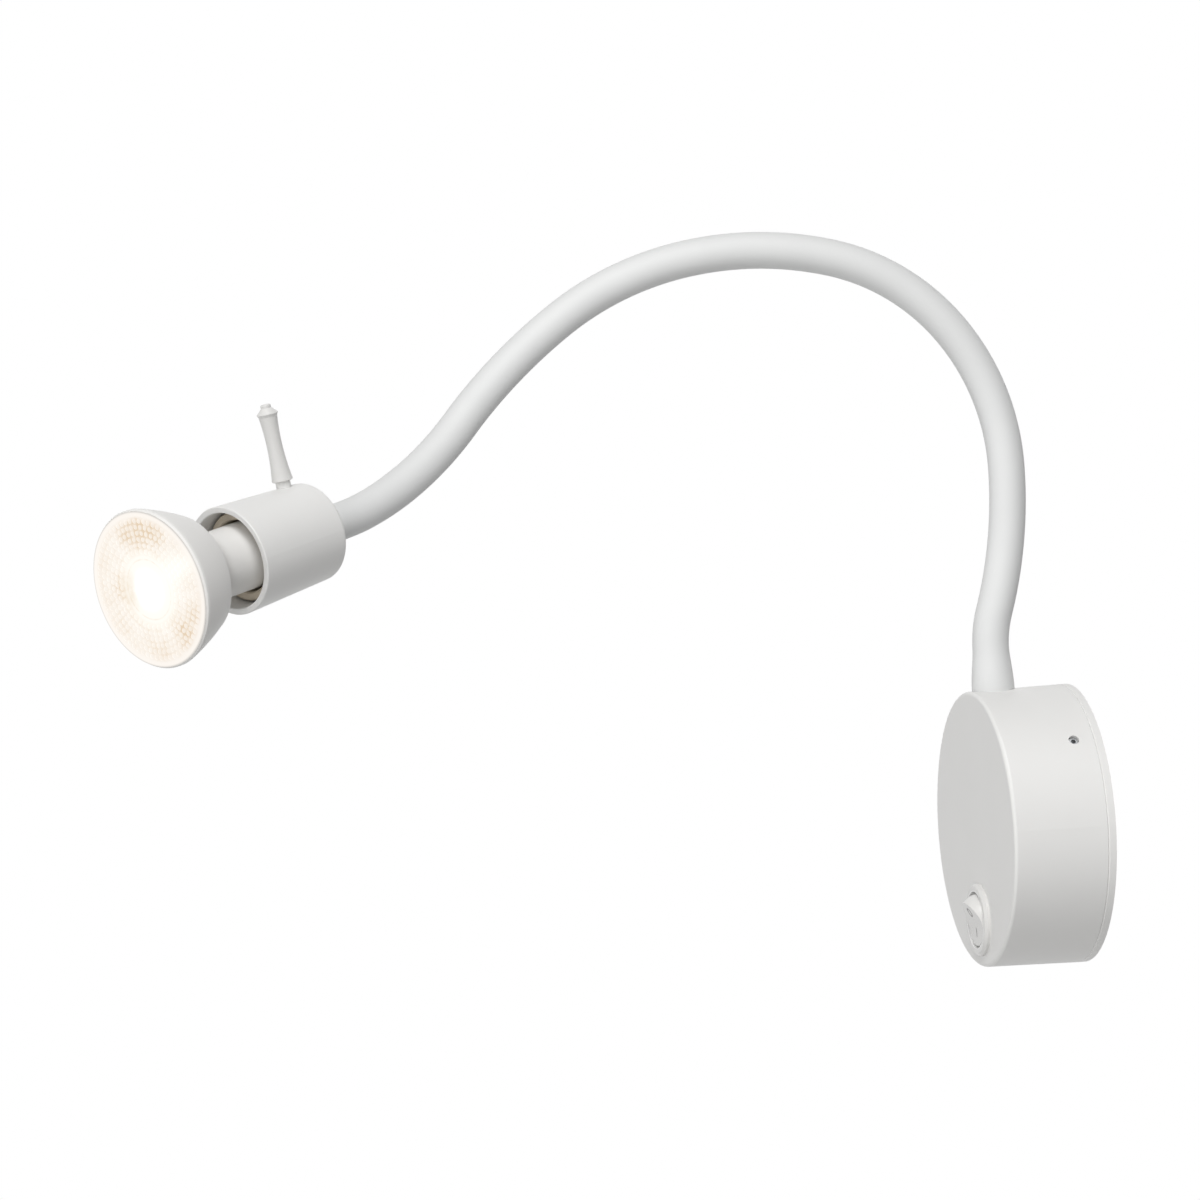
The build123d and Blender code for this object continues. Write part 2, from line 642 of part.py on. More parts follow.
# Arm length fixed in the foot
foot_arc_length = ARM_FOOT_ARC - BALL_SHOULDER
foot_arc = arc_tube(foot_top, foot_arc_length, share(FOOT_BEND, foot_arc_length / ARM_FOOT_ARC), CORE_R, 0)
foot_bore = arc_tube(foot_top, ARM_FOOT_ARC, FOOT_BEND, CORE_BORE, 0)
with BuildPart() as arm_core_0:
    with BuildSketch(Plane.XY.offset(socket_z)):
        with Locations((0, ARM_Y)):
            Circle(CORE_R)
    extrude(amount=FOOT_Z + ARM_FOOT - socket_z)
    add(foot_arc)
    with Locations(joints[0]):
        Sphere(BALL_R)
    with BuildSketch(Plane.XY.offset(socket_z)):
        with Locations((0, ARM_Y)):
            Circle(CORE_BORE)
    extrude(amount=FOOT_Z + ARM_FOOT - socket_z, mode=Mode.SUBTRACT)
    add(foot_bore, mode=Mode.SUBTRACT)
    with BuildSketch(Plane(joints[0])):
        Circle(CORE_BORE)
    extrude(amount=BALL_D, mode=Mode.SUBTRACT)
save(arm_core_0.part, "arm_core_0")

foot_lead = arc_tube(foot_top, ARM_FOOT_ARC, FOOT_BEND, LEAD_R, 0)
with BuildPart() as arm_lead_0:
    with BuildSketch(Plane.XY.offset(LEAD_END_Z)):
        with Locations((0, ARM_Y)):
            Circle(LEAD_R)
    extrude(amount=FOOT_Z + ARM_FOOT - LEAD_END_Z)
    add(foot_lead)
    with BuildSketch(Plane(joints[0])):
        Circle(LEAD_R)
    extrude(amount=LEAD_TAIL)
save(arm_lead_0.part, "arm_lead_0")

foot_sleeve = arc_tube(foot_top, ARM_FOOT_ARC, FOOT_BEND, SLEEVE_R, SLEEVE_BORE)
foot_top_z = FOOT_Z + ARM_FOOT
with BuildPart() as arm_sleeve_0:
    with BuildSketch(foot_section):
        with BuildLine():
            Spline(
                (SLEEVE_FOOT_D / 2, FOOT_Z),
                (SLEEVE_R + 0.72 * (SLEEVE_FOOT_D / 2 - SLEEVE_R), FOOT_Z + 0.43 * ARM_FOOT),
                (SLEEVE_R, foot_top_z),
                tangents=[(-0.02, 1), (0, 1)],
            )
            Polyline(
                (SLEEVE_R, foot_top_z),
                (SLEEVE_BORE, foot_top_z),
                (SLEEVE_BORE, FOOT_Z + FLANGE_L + SLEEVE_END_GAP + SLEEVE_STEP),
                (FOOT_FLANGE_D / 2 + FIT, FOOT_Z + FLANGE_L + SLEEVE_END_GAP),
                (FOOT_FLANGE_D / 2 + FIT, FOOT_Z),
                (SLEEVE_FOOT_D / 2, FOOT_Z),
            )
        make_face()
    revolve(axis=foot_axis)
    add(foot_sleeve)
save(arm_sleeve_0.part, "arm_sleeve_0")

# Moving arm lengths: core with a socket and a ball, lead inside, sleeve outside
for number, bend in enumerate(ARM_BENDS, start=1):
    start = joints[number - 1]
    end = joints[number]
    core_start = arc_frame(start, SOCKET_RIM, share(bend, SOCKET_RIM / ARM_STEP))
    core_length = ARM_STEP - SOCKET_RIM - BALL_SHOULDER
    core_bend = share(bend, core_length / ARM_STEP)
    core_rod = arc_tube(core_start, core_length, core_bend, CORE_R, 0)
    core_bore = arc_tube(start, ARM_STEP, bend, CORE_BORE, 0)
    with BuildPart() as arm_core:
        add(core_rod)
        with Locations(end):
            Sphere(BALL_R)
        with Locations(start):
            Sphere(SOCKET_R, mode=Mode.SUBTRACT)
        add(core_bore, mode=Mode.SUBTRACT)
        with BuildSketch(Plane(end)):
            Circle(CORE_BORE)
        extrude(amount=BALL_D, mode=Mode.SUBTRACT)
    save(arm_core.part, "arm_core_" + str(number))

    lead_skip = LEAD_TAIL + LEAD_GAP
    lead_start = arc_frame(start, lead_skip, share(bend, lead_skip / ARM_STEP))
    lead_length = ARM_STEP - lead_skip
    lead_rod = arc_tube(lead_start, lead_length, share(bend, lead_length / ARM_STEP), LEAD_R, 0)
    with BuildPart() as arm_lead:
        add(lead_rod)
        with BuildSketch(Plane(end)):
            Circle(LEAD_R)
        extrude(amount=LEAD_TAIL)
    save(arm_lead.part, "arm_lead_" + str(number))

    arm_sleeve = arc_tube(start, ARM_STEP, bend, SLEEVE_R, SLEEVE_BORE)
    save(arm_sleeve, "arm_sleeve_" + str(number))

# Arm length fixed in the head
last = ARM_COUNT + 1
tip_core_start = arc_frame(joints[-1], SOCKET_RIM, share(TIP_BEND, SOCKET_RIM / ARM_TIP_ARC))
tip_core_length = ARM_TIP_ARC - SOCKET_RIM
tip_core_bend = share(TIP_BEND, tip_core_length / ARM_TIP_ARC)
tip_core = arc_tube(tip_core_start, tip_core_length, tip_core_bend, CORE_R, CORE_BORE)
tip_seat = FLANGE_L / 3
with BuildPart() as arm_core_last:
    add(tip_core)
    with BuildSketch(Plane(tip_start)):
        Circle(CORE_R)
        Circle(CORE_BORE, mode=Mode.SUBTRACT)
    extrude(amount=ARM_TIP - tip_seat)
    with Locations(joints[-1]):
        Sphere(SOCKET_R, mode=Mode.SUBTRACT)
save(arm_core_last.part, "arm_core_" + str(last))

tip_lead_skip = LEAD_TAIL + LEAD_GAP
tip_lead_start = arc_frame(joints[-1], tip_lead_skip, share(TIP_BEND, tip_lead_skip / ARM_TIP_ARC))
tip_lead_length = ARM_TIP_ARC - tip_lead_skip
tip_lead_bend = share(TIP_BEND, tip_lead_length / ARM_TIP_ARC)
tip_lead = arc_tube(tip_lead_start, tip_lead_length, tip_lead_bend, LEAD_R, 0)
holder_back = CUP_FLOOR + HOLDER_ROOM
holder_front = holder_back + HOLDER_L
with BuildPart() as arm_lead_last:
    add(tip_lead)
    with BuildSketch(Plane(tip_start)):
        Circle(LEAD_R)
    extrude(amount=ARM_TIP + holder_back)
save(arm_lead_last.part, "arm_lead_" + str(last))

tip_sleeve = arc_tube(joints[-1], ARM_TIP_ARC, TIP_BEND, SLEEVE_R, SLEEVE_BORE)
with BuildPart() as arm_sleeve_last:
    with BuildSketch(head_section):
        with BuildLine():
            Spline(
                (SLEEVE_R, -ARM_TIP),
                (SLEEVE_TIP_D / 2, -FLANGE_L),
                (SLEEVE_TIP_D / 2, 0),
                tangents=[(0, 1), (0, 1)],
            )
            Polyline(
                (SLEEVE_TIP_D / 2, 0),
                (TIP_FLANGE_D / 2 + FIT, 0),
                (TIP_FLANGE_D / 2 + FIT, -FLANGE_L - SLEEVE_END_GAP),
                (SLEEVE_BORE, -FLANGE_L - SLEEVE_END_GAP - SLEEVE_STEP),
                (SLEEVE_BORE, -ARM_TIP),
                (SLEEVE_R, -ARM_TIP),
            )
        make_face()
    revolve(axis=head_axis)
    add(tip_sleeve)
save(arm_sleeve_last.part, "arm_sleeve_" + str(last))

# Head ferrule, cup and nut
nut_back = CUP_FLOOR + STRAP_T
stud_end = nut_back + NUT_T + STUD_PROUD
with BuildPart() as head_ferrule:
    with BuildSketch(head_section):
        with BuildLine():
            Polyline(
                (CORE_BORE, stud_end),
                (STUD_D / 2, stud_end),
                (STUD_D / 2, 0),
                (TIP_FLANGE_D / 2, 0),
                (TIP_FLANGE_D / 2, -FLANGE_L),
                (CORE_R + FIT, -FLANGE_L),
                (CORE_R + FIT, -tip_seat),
                (CORE_BORE, -tip_seat),
                close=True,
            )
        make_face()
    revolve(axis=head_axis)
save(head_ferrule.part, "head_ferrule")

cup_back_r = CUP_BACK_D / 2
cup_front_r = CUP_FRONT_D / 2
cup_slope = (cup_front_r - cup_back_r) / CUP_L
cup_r_at_grip = cup_back_r + cup_slope * GRIP_BACK
grip_seat = cup_r_at_grip - GRIP_SINK
grip_origin = head.origin + head.z_dir * GRIP_BACK
grip_plane = Plane(origin=grip_origin, x_dir=head.x_dir, z_dir=head.y_dir)
grip_section = Plane(origin=grip_origin, x_dir=head.x_dir, z_dir=head.z_dir)
grip_axis = Axis(grip_origin, head.y_dir)
with BuildPart() as head_cup:
    with BuildSketch(head_section):
        with BuildLine():
            Polyline(
                (STUD_D / 2 + PANEL_FIT, 0),
                (cup_back_r, 0),
                (cup_front_r, CUP_L),
                (cup_front_r - CUP_WALL, CUP_L),
                (cup_back_r + cup_slope * CUP_FLOOR - CUP_WALL, CUP_FLOOR),
                (STUD_D / 2 + PANEL_FIT, CUP_FLOOR),
                close=True,
            )
        make_face()
    revolve(axis=head_axis)
    rings = head_cup.edges().filter_by(GeomType.CIRCLE).group_by(head_axis)
    fillet(rings[0].sort_by(SortBy.RADIUS)[-1], CUP_BACK_R)
    rings = head_cup.edges().filter_by(GeomType.CIRCLE).group_by(head_axis)
    fillet(rings[-1], CUP_RIM_R)
    with BuildSketch(grip_plane.offset(grip_seat)):
        Circle(GRIP_COLLAR_D / 2 + PANEL_FIT)
    extrude(amount=2, mode=Mode.SUBTRACT)
    with BuildSketch(grip_plane.offset(cup_r_at_grip - 2 * CUP_WALL)):
        Circle(GRIP_STUD_D / 2 + FIT)
    extrude(amount=2 * CUP_WALL, mode=Mode.SUBTRACT)
save(head_cup.part, "head_cup")

with BuildPart() as head_nut:
    with BuildSketch(head.offset(nut_back)):
        RegularPolygon(NUT_AF / 2, 6, major_radius=False, rotation=30)
        Circle(STUD_D / 2 + FIT, mode=Mode.SUBTRACT)
    extrude(amount=NUT_T)
save(head_nut.part, "head_nut")

# Strap that carries the lampholder
with BuildPart() as holder_strap:
    with BuildSketch(head.offset(CUP_FLOOR)):
        Circle(STUD_D / 2 + STRAP_EYE_W)
        Rectangle(STRAP_SPAN, STRAP_W)
        Circle(STUD_D / 2 + PANEL_FIT, mode=Mode.SUBTRACT)
    extrude(amount=STRAP_T)
    with BuildSketch(head.offset(CUP_FLOOR)):
        with GridLocations(STRAP_SPAN - STRAP_T, 0, 2, 1):
            Rectangle(STRAP_T, STRAP_W)
    extrude(amount=holder_back - CUP_FLOOR)
    with BuildSketch(head.offset(holder_back - STRAP_T)):
        with GridLocations(STRAP_SPAN - STRAP_FOOT_L, 0, 2, 1):
            Rectangle(STRAP_FOOT_L, STRAP_W)
        with GridLocations(HOLDER_SCREW_PITCH, 0, 2, 1):
            Circle(HOLDER_SCREW_D / 2 + PANEL_FIT, mode=Mode.SUBTRACT)
    extrude(amount=STRAP_T)
save(holder_strap.part, "holder_strap")

# Ceramic lampholder with two bayonet slots and a skirt round the lamp's neck
pin_r = PIN_PITCH / 2


def pin_slots(width):
    """Two opposite arc slots on the pin circle, from the locked to the free position."""
    half = width / 2
    with BuildSketch() as slots:
        for first in (0, 180):
            locked = Vector(pin_r, 0).rotate(Axis.Z, first)
            free = Vector(pin_r, 0).rotate(Axis.Z, first + TWIST)
            with BuildLine():
                CenterArc((0, 0), pin_r + half, first, TWIST)
                CenterArc(free, half, first + TWIST, 180)
                CenterArc((0, 0), pin_r - half, first, TWIST)
                CenterArc(locked, half, first + 180, 180)
            make_face()
    return slots.sketch


shank_slots = pin_slots(PIN_D + 2 * PIN_GAP)
head_slots = pin_slots(PIN_HEAD_D + 2 * PIN_GAP)
ledge_back = holder_front - LEDGE_T
slot_floor = holder_front - PIN_L - CONTACT_T
skirt_front = holder_front + SKIRT_L
with BuildPart() as lampholder:
    with BuildSketch(head_section):
        with BuildLine():
            Polyline(
                (0, holder_back),
                (HOLDER_D / 2, holder_back),
                (HOLDER_D / 2, holder_front - HOLDER_SHOULDER),
                (SKIRT_D / 2, holder_front),
                (SKIRT_D / 2, skirt_front - SKIRT_EDGE),
                (SKIRT_D / 2 - SKIRT_EDGE, skirt_front),
                (SKIRT_BORE_D / 2 + SKIRT_EDGE, skirt_front),
                (SKIRT_BORE_D / 2, skirt_front - SKIRT_EDGE),
                (SKIRT_BORE_D / 2, holder_front),
                (0, holder_front),
                close=True,
            )
        make_face()
    revolve(axis=head_axis)
    with BuildSketch(head.offset(ledge_back)):
        add(shank_slots)
        with PolarLocations(pin_r, 2, start_angle=TWIST):
            Circle(PIN_HEAD_D / 2 + PIN_GAP / 2)
    extrude(amount=LEDGE_T, mode=Mode.SUBTRACT)
    with BuildSketch(head.offset(slot_floor)):
        add(head_slots)
    extrude(amount=ledge_back - slot_floor, mode=Mode.SUBTRACT)
    with BuildSketch(head.offset(holder_back)):
        with GridLocations(HOLDER_SCREW_PITCH, 0, 2, 1):
            Circle(HOLDER_SCREW_D / 2 + FIT)
    extrude(amount=HOLDER_SCREW_L, mode=Mode.SUBTRACT)
save(lampholder.part, "lampholder")

with BuildPart() as holder_contacts:
    with BuildSketch(head.offset(slot_floor)):
        add(shank_slots)
    extrude(amount=CONTACT_T)
save(holder_contacts.part, "holder_contacts")

with BuildPart() as holder_screws:
    with BuildSketch(head.offset(holder_back - STRAP_T)):
        with GridLocations(HOLDER_SCREW_PITCH, 0, 2, 1):
            Circle(HOLDER_SCREW_D / 2)
    extrude(amount=HOLDER_SCREW_L)
    with BuildSketch(head.offset(holder_back - STRAP_T)):
        with GridLocations(HOLDER_SCREW_PITCH, 0, 2, 1):
            Circle(HOLDER_SCREW_HEAD_D / 2)
    extrude(amount=-HOLDER_SCREW_HEAD_T)
save(holder_screws.part, "holder_screws")

# Handle: stud with collar, waisted grip
grip_low = grip_seat + GRIP_COLLAR_T
with BuildPart() as handle_stud:
    with BuildSketch(grip_plane.offset(cup_r_at_grip - CUP_WALL)):
        Circle(GRIP_STUD_D / 2)
    extrude(amount=grip_low + GRIP_BORE_L - 0.5 - cup_r_at_grip + CUP_WALL)
    with BuildSketch(grip_plane.offset(grip_seat)):
        Circle(GRIP_COLLAR_D / 2)
    extrude(amount=GRIP_COLLAR_T)
save(handle_stud.part, "handle_stud")

grip_top = grip_low + GRIP_L
shoulder = grip_top - GRIP_SHOULDER
with BuildPart() as handle_grip:
    with BuildSketch(grip_section):
        with BuildLine():
            Polyline(
                (GRIP_TOP_D / 2, shoulder - GRIP_LIP_T),
                (GRIP_LIP_D / 2, shoulder),
                (GRIP_NUB_D / 2, grip_top - 1.1),
                (GRIP_NUB_D / 2, grip_top - 0.3),
                (GRIP_NUB_D / 2 - 0.3, grip_top),
                (0, grip_top),
                (0, grip_low + GRIP_BORE_L),
                (GRIP_STUD_D / 2 + FIT, grip_low + GRIP_BORE_L),
                (GRIP_STUD_D / 2 + FIT, grip_low),
                (GRIP_FOOT_D / 2 - 0.3, grip_low),
                (GRIP_FOOT_D / 2, grip_low + 0.3),
            )
            ThreePointArc(
                (GRIP_FOOT_D / 2, grip_low + 0.3),
                (GRIP_WAIST_D / 2, grip_low + 0.5 * (shoulder - grip_low)),
                (GRIP_TOP_D / 2, shoulder - GRIP_LIP_T),
            )
        make_face()
    revolve(axis=grip_axis)
save(handle_grip.part, "handle_grip")

# Twist-lock lamp: body, lens, light board and pins
lamp_back = holder_front
lamp_front = lamp_back + LAMP_L
neck_r = LAMP_NECK_D / 2
lamp_r = LAMP_D / 2
bowl_back = lamp_front - LAMP_BOWL_L
bowl_r = LAMP_BOWL_BACK_D / 2
rim_back = lamp_front - LAMP_RIM_L
corner_back = bowl_back - LAMP_CORNER_L
throat = bowl_back - LAMP_THROAT_L
flare_back = throat - LAMP_FLARE_L
throat_r = LAMP_THROAT_D / 2
lens_back = lamp_front - LENS_SINK - LENS_T
board_seat = lamp_front - BOARD_DEPTH
lens_r = lamp_r - LAMP_RIM_W
ledge_r = lens_r - LENS_LEDGE
with BuildPart() as lamp_body:
    with BuildSketch(head_section):
        with BuildLine():
            Polyline(
                (lamp_r, rim_back),
                (lamp_r, lamp_front - LAMP_RIM_EDGE),
                (lamp_r - LAMP_RIM_EDGE, lamp_front),
                (lens_r, lamp_front),
                (lens_r, lens_back),
                (ledge_r, lens_back),
                (ledge_r, lens_back - REFLECTOR_LIP_L),
            )
            ThreePointArc(
                (ledge_r, lens_back - REFLECTOR_LIP_L),
                (REFLECTOR_R, lamp_front - REFLECTOR_DEPTH),
                (BOARD_D / 2 + 0.5, board_seat),
            )
            Polyline(
                (BOARD_D / 2 + 0.5, board_seat),
                (0, board_seat),
                (0, lamp_back),
                (neck_r - NECK_EDGE, lamp_back),
                (neck_r, lamp_back + NECK_EDGE),
                (neck_r, flare_back),
            )
            TangentArc((neck_r, flare_back), (throat_r, throat), tangent=(0, 1))
            Polyline(
                (throat_r, throat),
                (LAMP_CORNER_D / 2, corner_back),
                (bowl_r, bowl_back),
            )
            ThreePointArc(
                (bowl_r, bowl_back),
                ((bowl_r + lamp_r) / 2 + LAMP_BOWL_CROWN_H, (bowl_back + rim_back) / 2),
                (lamp_r, rim_back),
            )
        make_face()
    revolve(axis=head_axis)
save(lamp_body.part, "lamp_body")

with BuildPart() as lamp_lens:
    with BuildSketch(head.offset(lens_back)):
        Circle(lens_r - FIT)
    extrude(amount=LENS_T)
    chamfer(lamp_lens.edges().group_by(head_axis)[-1], 0.4)
save(lamp_lens.part, "lamp_lens")

with BuildPart() as light_board:
    with BuildSketch(head.offset(board_seat)):
        Circle(BOARD_D / 2)
    extrude(amount=BOARD_T)
    with BuildSketch(head.offset(board_seat + BOARD_T)):
        Circle(CHIP_D / 2)
    extrude(amount=CHIP_T)
save(light_board.part, "light_board")

with BuildPart() as lamp_pins:
    with BuildSketch(head.offset(lamp_back)):
        with GridLocations(PIN_PITCH, 0, 2, 1):
            Circle(PIN_D / 2)
    extrude(amount=-PIN_L)
    with BuildSketch(head.offset(lamp_back - PIN_L)):
        with GridLocations(PIN_PITCH, 0, 2, 1):
            Circle(PIN_HEAD_D / 2)
    extrude(amount=PIN_HEAD_T)
save(lamp_pins.part, "lamp_pins")
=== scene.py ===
import json
import math

import bmesh
import bpy
from mathutils import Matrix, Vector


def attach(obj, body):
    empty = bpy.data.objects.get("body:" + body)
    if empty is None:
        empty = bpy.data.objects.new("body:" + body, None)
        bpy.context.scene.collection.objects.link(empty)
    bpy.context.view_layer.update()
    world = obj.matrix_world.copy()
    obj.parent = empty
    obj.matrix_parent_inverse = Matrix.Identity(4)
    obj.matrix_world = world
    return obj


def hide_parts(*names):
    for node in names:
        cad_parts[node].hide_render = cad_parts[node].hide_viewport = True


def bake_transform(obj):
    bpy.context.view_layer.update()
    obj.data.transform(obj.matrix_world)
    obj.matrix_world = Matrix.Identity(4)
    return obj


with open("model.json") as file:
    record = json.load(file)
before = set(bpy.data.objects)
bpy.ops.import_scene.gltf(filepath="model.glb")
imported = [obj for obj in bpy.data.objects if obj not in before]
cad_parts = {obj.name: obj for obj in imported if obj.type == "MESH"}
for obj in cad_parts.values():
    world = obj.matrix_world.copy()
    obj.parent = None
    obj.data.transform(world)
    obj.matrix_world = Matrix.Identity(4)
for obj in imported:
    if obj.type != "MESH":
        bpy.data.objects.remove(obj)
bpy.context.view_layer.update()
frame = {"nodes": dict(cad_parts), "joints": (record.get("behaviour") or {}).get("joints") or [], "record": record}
nodes = frame["nodes"]
joints = {j["name"]: j for j in frame["joints"]}
scene = bpy.context.scene

MM = 0.001
WHITE = (1.0, 1.0, 1.0, 1.0)
SHARP_ANGLE = 35.0

# Camera: level, turned round to the lamp's side, with the picture turned a little
CAMERA_AZIMUTH = 76.85
CAMERA_ROLL = 3.45
CAMERA_DISTANCE = 2.2632
CAMERA_SHIFT = (-0.15342, 0.07198)
CAMERA_LENS = 210.0
CAMERA_SENSOR = 36.0
CAMERA_CLIP = (0.05, 50.0)

# Softboxes that face the lamp: name, place and power
LIGHT_TARGET = (0.0, -0.14, 0.08)
SOFTBOX_SIZE = 1.2
SOFTBOXES = [
    ("key_high", (1.35, -0.5, 1.7), 29.0),
    ("key_low", (1.87, -0.33, 1.0), 3.5),
]

# Floor, well below the lamp
FLOOR_PLACE = (0.0, -0.13, -1.6)
FLOOR_R = 0.9
FLOOR_POINTS = 96
FLOOR_GLOW = 0.6

# Surroundings: an even light, and lobes as (direction, cosine at the lobe's edge, power)
ROOM_EVEN = 0.04
ROOM_LOBES = [
    ((0.75, -0.6, -0.3), 0.0, 0.76),
    ((0.1, -0.93, -0.35), 0.2, 0.32),
    ((-0.8, 0.6, 0.1), 0.25, 0.65),
]

# Flexible arm, in millimetres and degrees: its foot, then each stretch as (length, (outward, sideways bend))
ARM_START = (0.0, -24.6, 44.007)
ARM_STRETCHES = [
    (14.0, (0.0, 0.0)),
    (12.0, (-18.0, 0.0)),
    (47.5, (19.0, 0.0)),
    (47.5, (36.5, 0.0)),
    (47.5, (38.0, -2.0)),
    (47.5, (24.0, -2.0)),
    (47.5, (26.0, 5.0)),
    (47.5, (12.5, 12.0)),
    (47.5, (-22.0, 14.0)),
    (10.0, (-6.5, 5.0)),
    (14.0, (0.0, 0.0)),
]
ARM_FIRST_JOINT = 26.0
ARM_STEP = 47.5
ARM_JOINTS = 8
ARM_LENGTH = sum(length for length, bend in ARM_STRETCHES)
SLEEVE_R = 5.9
SLEEVE_BORE = 4.95
SLEEVE_FLARE = 1.0
SLEEVE_FLARE_L = 14.0
SLEEVE_FLARE_POWERS = (2.2, 1.9)
SLEEVE_TIP_SWELL = 0.2
SLEEVE_TIP_L = 9.0
BEND_HALF = 20.0
RING_STEP = 1.25
RING_POINTS = 40

# Lens, in millimetres from the back of the cup: a lip over the bowl's rim, a dome and rows of beads
LENS_BACK = 67.5
LENS_LIP = 69.93
LENS_FACE = 70.15
LENS_R = 24.55
LENS_BODY_R = 23.55
LENS_EDGE = 0.15
LENS_EDGE_CUT = 0.3 * LENS_EDGE
LENS_POINTS = 96
DOME_R = 8.6
DOME_H = 0.5
DOME_FOOT = 0.2
DOME_RINGS = 7
BEAD_ROWS = [12.0, 13.9, 15.8, 17.7, 19.6, 21.5]
BEAD_PITCH = 2.0
BEAD_R = 0.93
BEAD_H = 0.45
BEAD_PROFILE = [(1.0, -0.1), (0.8, 0.42), (0.45, 0.84)]
BEAD_POINTS = 10

# Look of the lit lens, from its middle (0) to its rim (1): colours, where the shade lies, two dark rings
LENS_GLOW = [
    (0.0, (1.0, 1.0, 1.0)),
    (0.2, (1.0, 1.0, 0.99)),
    (0.32, (0.97, 0.945, 0.89)),
    (0.46, (0.96, 0.925, 0.865)),
    (0.6, (0.94, 0.90, 0.85)),
    (0.74, (0.925, 0.88, 0.82)),
    (0.86, (0.92, 0.87, 0.81)),
    (0.975, (0.925, 0.875, 0.82)),
    (1.0, (0.58, 0.56, 0.53)),
]
LENS_BAND = [(0.42, 0.0), (0.48, 1.0), (0.88, 1.0), (0.94, 0.0)]
LENS_LINES = [(0.37, 0.0), (0.385, 0.3), (0.4, 0.0), (0.53, 0.0), (0.545, 0.2), (0.56, 0.0)]
LENS_WASHED = (1.0, 0.985, 0.94, 1.0)
LENS_DARK = (0.81, 0.69, 0.55, 1.0)
LENS_UNLIT = (0.05, 0.05, 0.05, 1.0)
LENS_POWER = (1.5, 1.0)
LENS_POWER_REACH = (0.05, 0.3)
LENS_ROUGH = 0.3
LENS_GLOSS = 0.2

# Soft round spots on the lens, each (middle, reach, weight) in millimetres: washed out, halo, darker patches
LENS_WASHES = [((3.0, 0.5), 8.0, 0.7), ((11.0, 4.5), 9.0, 0.75), ((18.0, 7.0), 7.5, 0.6)]
LENS_HALO = [((-8.0, 2.6), 5.5, 0.4), ((-8.4, -2.2), 5.5, 0.36)]
LENS_PATCHES = [
    ((1.5, 18.5), 9.0, 0.9),
    ((-5.5, 18.0), 6.0, 0.6),
    ((8.5, 16.5), 6.0, 0.6),
    ((-12.3, 1.0), 6.5, 0.55),
    ((12.0, -14.0), 7.5, 0.8),
    ((18.0, -8.0), 5.0, 0.5),
    ((-1.0, -19.5), 7.0, 0.35),
    ((-15.5, -10.0), 6.0, 0.2),
]

# Shade on the lens: noise as (scale, least, most), and how much of the shade comes from what
SPECKLE = (620.0, 0.1, 1.4)
CLOUDS = (170.0, 0.0, 0.2)
LENS_NOISE_DETAIL = 2.0
VALLEY_SHARE = 0.6
VALLEY_SHADE = 0.15
VALLEY_PATCH_SHADE = 0.8
PATCH_SHADE = 0.3
HALO_SPECKLE = 0.45
HALO_EVEN = 0.55

# Rocker, in millimetres and degrees: its face is dished between two slopes
ROCKER_TILT = 15.0
ROCKER_SLOPE = 15.0
ROCKER_VALLEY = 3.1
ROCKER_DISH_R = 14.0

# Marks on the rocker: place above its middle, then outer and inner half width and half height
OFF_MARK = (3.7, (1.5, 1.6), (1.1, 1.2))
ON_MARK = (-3.1, (0.22, 1.6), (0.02, 1.4))
MARK_H = 0.05
MARK_SUNK = 0.03
MARK_POINTS = 36

# Ring round the rocker painted whiter than the rest of the switch, as painted light between the rocker and its
# bezel, in metres
WELL_MIDDLE = (0.0, 0.0, -0.0291)
WELL_INNER = (0.0085, 0.0088)
WELL_OUTER = (0.0096, 0.0093)
WELL_PAINTED_LIGHT = (0.97, 0.97, 0.96, 1.0)

# Finishes: soft clouds of colour, and a fine grain that also makes the gloss uneven
CLOUD_DETAIL = 4.0
CLOUD_LOW = 0.3
CLOUD_HIGH = 0.7
GRAIN_DETAIL = 3.0
GRAIN_DEPTH = 0.0004
ROUGH_SPREAD = 0.08
ROUGH_LEAST = 0.02
COAT_ROUGH = 0.15

# Colour sockets of Blender's Mix node
MIX_FIRST = 6
MIX_SECOND = 7
MIX_RESULT = 2


def shader_of(material):
    """Node tree of a material and the shader in it."""
    material.use_nodes = True
    tree = material.node_tree
    return tree, tree.nodes["Principled BSDF"]


def node(tree, kind, **settings):
    """Adds a shader node and makes its settings."""
    made = tree.nodes.new(kind)
    for key, value in settings.items():
        setattr(made, key, value)
    return made


def feed(tree, source, socket):
    """Gives a socket a number or the output of another node."""
    if isinstance(source, float):
        socket.default_value = source
    else:
        tree.links.new(source, socket)


def maths(tree, operation, *values, clamp=False):
    """Sum, product or the like of values in turn, each an output or a number."""
    total = values[0]
    for value in values[1:]:
        made = node(tree, "ShaderNodeMath", operation=operation, use_clamp=clamp)
        feed(tree, total, made.inputs[0])
        feed(tree, value, made.inputs[1])
        total = made.outputs["Value"]
    return total


def vector_maths(tree, operation, first, second=None):
    """Product, distance or the like of a point and a fixed second one, or the length of the first alone."""
    made = node(tree, "ShaderNodeVectorMath", operation=operation)
    tree.links.new(first, made.inputs[0])
    if second:
        made.inputs[1].default_value = second
    number = operation in ("DISTANCE", "DOT_PRODUCT", "LENGTH")
    return made.outputs["Value" if number else "Vector"]


def spread_over(tree, source, low, high, start, end, smooth=False):
    """Value mapped from one range to another."""
    made = node(tree, "ShaderNodeMapRange")
    if smooth:
        made.interpolation_type = "SMOOTHSTEP"
    made.inputs["From Min"].default_value = low
    made.inputs["From Max"].default_value = high
    made.inputs["To Min"].default_value = start
    made.inputs["To Max"].default_value = end
    tree.links.new(source, made.inputs["Value"])
    return made.outputs["Result"]


